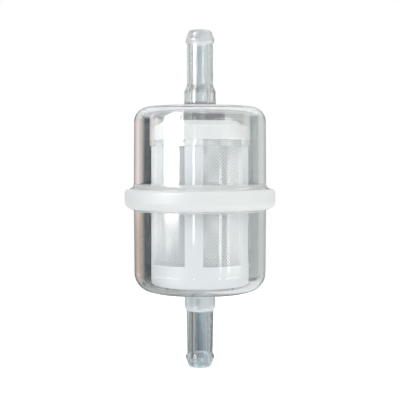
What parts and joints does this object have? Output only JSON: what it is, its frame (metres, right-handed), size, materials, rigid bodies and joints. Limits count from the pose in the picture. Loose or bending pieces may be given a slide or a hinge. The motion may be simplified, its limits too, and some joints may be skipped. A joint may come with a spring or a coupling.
{
  "type": "fuel filter",
  "caption": "Clear inline fuel filter: two moulded shells joined by a milky band, a windowed mesh strainer inside and a hose barb at each end.",
  "frame": {"origin": "on the filter's axis, half way between the two barb tips, in the plane where the two shells meet", "axes": "+Z along the axis towards the outlet barb; -Y is the side the picture shows, with one strainer rib just left of its centre"},
  "size_m": [0.037, 0.037, 0.0828],
  "materials": {
    "clear_shell": "clear, polished",
    "milky_band": "milky, semi-gloss",
    "white_cage": "white, satin",
    "strainer_mesh": "woven nylon monofilament"
  },
  "bodies": {
    "root": {"outlet_shell": "clear_shell", "inlet_shell": "clear_shell", "joint_band": "milky_band", "strainer_frame": "white_cage", "mesh_panel_1": "strainer_mesh", "mesh_panel_2": "strainer_mesh", "mesh_panel_3": "strainer_mesh", "mesh_panel_4": "strainer_mesh", "mesh_panel_5": "strainer_mesh"}
  },
  "joints": []
}
